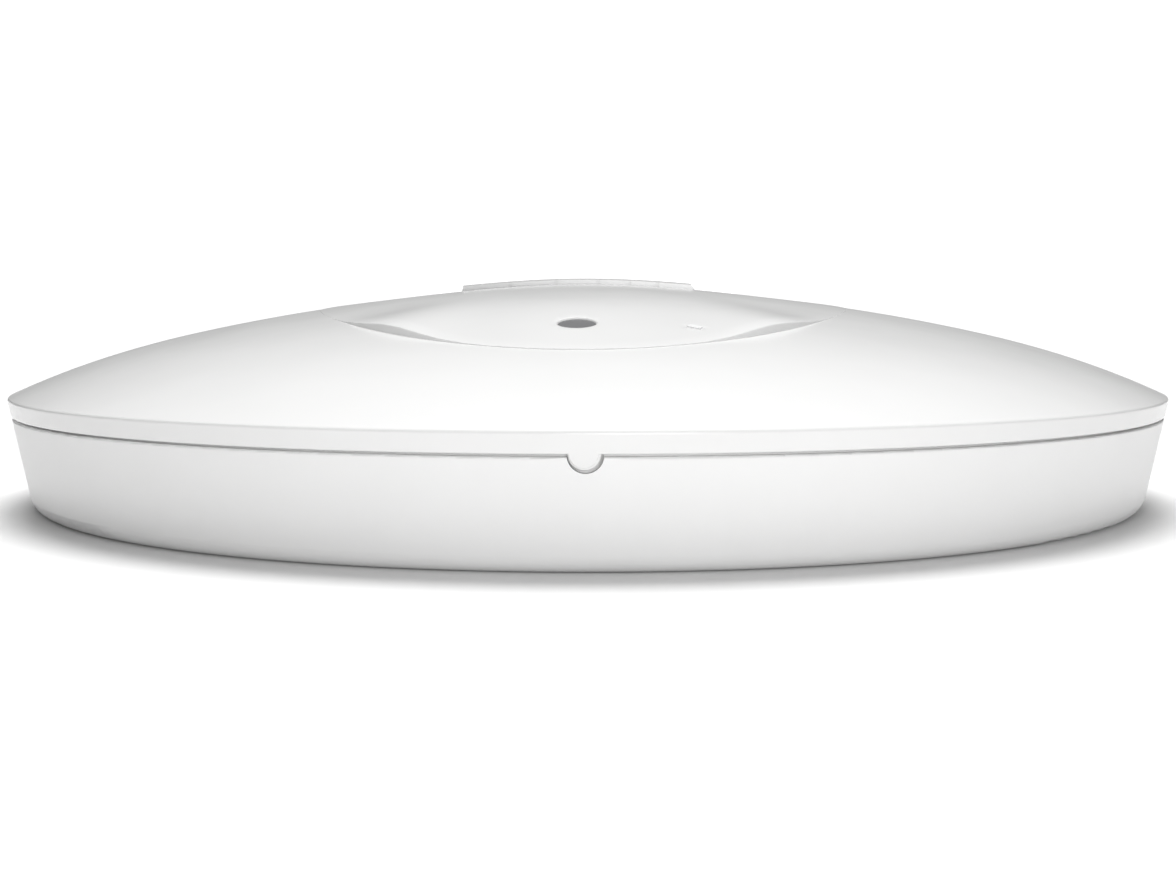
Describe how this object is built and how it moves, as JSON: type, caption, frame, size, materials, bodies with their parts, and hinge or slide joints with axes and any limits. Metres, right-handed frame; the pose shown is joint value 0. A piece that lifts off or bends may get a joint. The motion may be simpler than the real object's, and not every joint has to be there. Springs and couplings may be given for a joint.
{
  "type": "ceiling access point",
  "caption": "Round ceiling wireless access point: shallow white dome cover on a tapered tub, with grey status window, recessed cable bay, jacks, reset button and twist-lock bracket.",
  "frame": {"origin": "centre of the ring that faces the ceiling, on its plane; the part lies on that ring", "axes": "+Z out of the dome, into the room when mounted; -Y is the side with the pry tab and the status window; +X to the right seen from that side"},
  "size_m": [0.2198, 0.2198, 0.0422],
  "materials": {
    "cover_white": "gloss white moulding, very slightly soft",
    "base_white": "semi-gloss white moulding",
    "trim_white": "gloss white moulding",
    "window_grey": "smoked translucent grey",
    "lens_white": "milky white",
    "board_green": "solder mask on glass-fibre laminate",
    "chip_black": "moulded epoxy",
    "tin": "tinned sheet",
    "pad_grey": "soft silicone pad",
    "spreader_aluminium": "bead-blasted",
    "led_body": "clear epoxy over phosphor",
    "jack_black": "glass-filled nylon",
    "gold": "gold-plated contacts",
    "nickel": "nickel plate",
    "ferrite": "sintered ferrite",
    "capacitor_can": "sleeved can",
    "button_black": "matte",
    "lead_black": "coaxial lead jacket",
    "screw_steel": "zinc plated",
    "label_silver": "blank polyester label",
    "bracket_white": "fine-textured white moulding"
  },
  "bodies": {
    "housing": {"top_cover": "cover_white", "base_housing": "base_white", "trim_bar": "trim_white", "status_light_pipe": "window_grey", "led_light_pipe": "lens_white", "main_board": "board_green", "processor": "chip_black", "memory_chips": "chip_black", "radio_chips": "chip_black", "shield_cans": "tin", "thermal_pads": "pad_grey", "heat_spreader": "spreader_aluminium", "status_leds": "led_body", "ethernet_jack": "jack_black", "ethernet_contacts": "gold", "ethernet_magnetics": "chip_black", "dc_jack": "jack_black", "dc_jack_pin": "nickel", "poe_transformer": "ferrite", "capacitors": "capacitor_can", "inductors": "ferrite", "reset_switch": "nickel", "antennas_low_band": "tin", "antennas_high_band": "tin", "antenna_leads": "lead_black", "antenna_plugs": "gold", "board_screws": "screw_steel", "spreader_screws": "screw_steel", "cover_screws": "screw_steel", "rating_label": "label_silver"},
    "bracket": {"mounting_bracket": "bracket_white"},
    "button": {"reset_button": "button_black", "reset_plunger": "button_black"}
  },
  "joints": [
    {"name": "bracket_twist", "type": "hinge", "parent": "housing", "child": "bracket", "pos_m": [0, 0, 0.0024], "axis": [0, 0, 1], "range_deg": [0, 22]},
    {"name": "reset_press", "type": "slide", "parent": "housing", "child": "button", "axis": [0, -1, 0], "range_m": [0, 0.0005], "stiffness_N_per_m": 300, "springref_m": -0.002}
  ]
}
